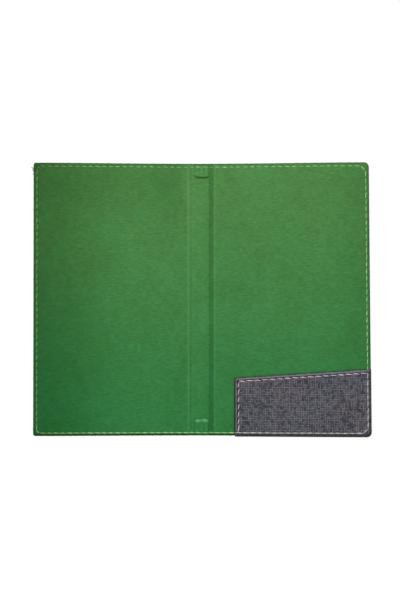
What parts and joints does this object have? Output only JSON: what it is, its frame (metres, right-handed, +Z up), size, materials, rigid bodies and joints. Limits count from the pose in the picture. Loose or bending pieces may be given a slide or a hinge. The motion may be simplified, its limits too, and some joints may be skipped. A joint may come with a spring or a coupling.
{
  "type": "pocket notebook cover",
  "caption": "Open pocket notebook cover: woven outer cloth, stiffened panels, green imitation-leather lining, two folding creases and a corner pocket, sewn round the edge.",
  "frame": {"origin": "middle of the spine, on the underside of the outer cloth, with the cover open and flat", "axes": "+Z up out of the lining, +X from the spine towards the back cover's fore edge, +Y towards the head"},
  "size_m": [0.191, 0.155, 0.0037],
  "materials": {
    "outer_cloth": "dark grey melange woven polyester, matt",
    "lining_leather": "green brushed imitation leather, matt with a soft nap",
    "greyboard": "pressed grey board, sealed inside the cover",
    "thread": "pale grey-green spun polyester thread"
  },
  "bodies": {
    "back_cover": {"outer_back": "outer_cloth", "back_board": "greyboard", "lining_back": "lining_leather", "outer_back_crease": "outer_cloth", "lining_back_crease": "lining_leather", "pocket_panel": "outer_cloth", "edge_stitches_back_inside": "thread", "edge_stitches_back_outside": "thread", "pocket_side_stitches": "thread", "pocket_mouth_stitches": "thread"},
    "spine": {"outer_spine": "outer_cloth", "spine_board": "greyboard", "lining_spine": "lining_leather", "head_tab": "lining_leather", "tail_tab": "lining_leather", "edge_stitches_spine_inside": "thread", "edge_stitches_spine_outside": "thread"},
    "front_cover": {"outer_front": "outer_cloth", "front_board": "greyboard", "lining_front": "lining_leather", "outer_front_crease": "outer_cloth", "lining_front_crease": "lining_leather", "edge_stitches_front_inside": "thread", "edge_stitches_front_outside": "thread"}
  },
  "joints": [
    {"name": "back_fold", "type": "hinge", "parent": "back_cover", "child": "spine", "pos_m": [0.0055, 0, 0.0006], "axis": [0, 1, 0], "range_deg": [-90, 90], "deforming": ["outer_back_crease", "lining_back_crease"]},
    {"name": "front_fold", "type": "hinge", "parent": "spine", "child": "front_cover", "pos_m": [-0.0055, 0, 0.0006], "axis": [0, 1, 0], "range_deg": [-90, 90], "deforming": ["outer_front_crease", "lining_front_crease"]}
  ]
}
